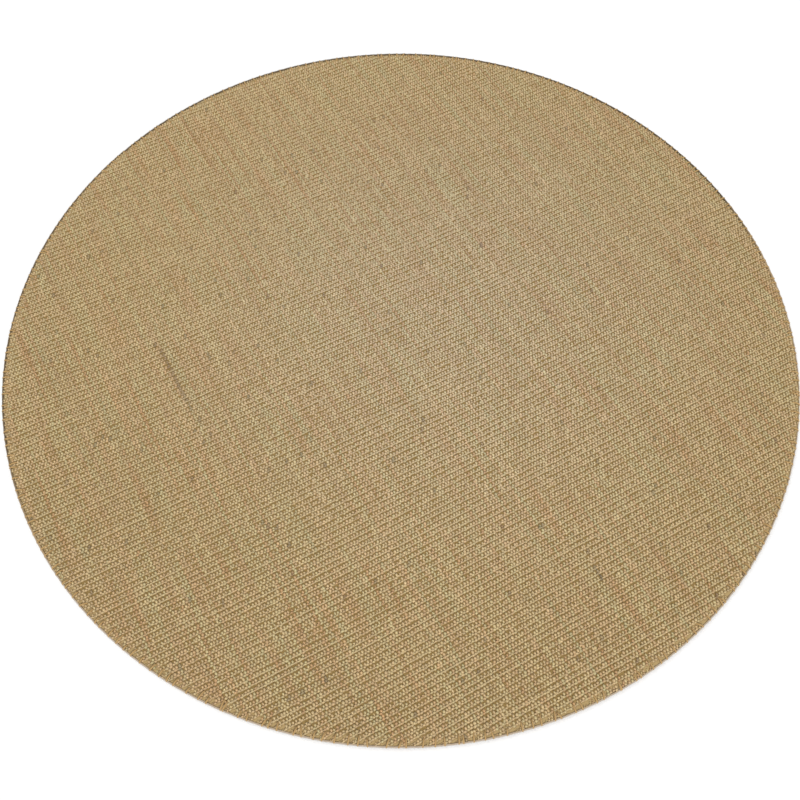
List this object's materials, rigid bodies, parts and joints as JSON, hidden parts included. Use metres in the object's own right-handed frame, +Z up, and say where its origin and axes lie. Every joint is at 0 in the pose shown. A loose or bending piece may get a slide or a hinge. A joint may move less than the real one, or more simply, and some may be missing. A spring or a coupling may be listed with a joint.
{
  "type": "round sisal rug",
  "caption": "Flat round rug of looped, ribbed sisal weave with an overlocked yarn edge all round.",
  "frame": {"origin": "centre of the underside, on the floor that the rug lies on", "axes": "+Z up, +X along the ribs of loops, +Y along the looped warp yarns"},
  "size_m": [1, 1, 0.006],
  "materials": {
    "sisal_weave": "matt looped sisal, straw with brown and grey flecks",
    "edging_yarn": "matt twisted golden edging yarn"
  },
  "bodies": {
    "root": {"woven_field": "sisal_weave", "overlock_edging": "edging_yarn"}
  },
  "joints": []
}
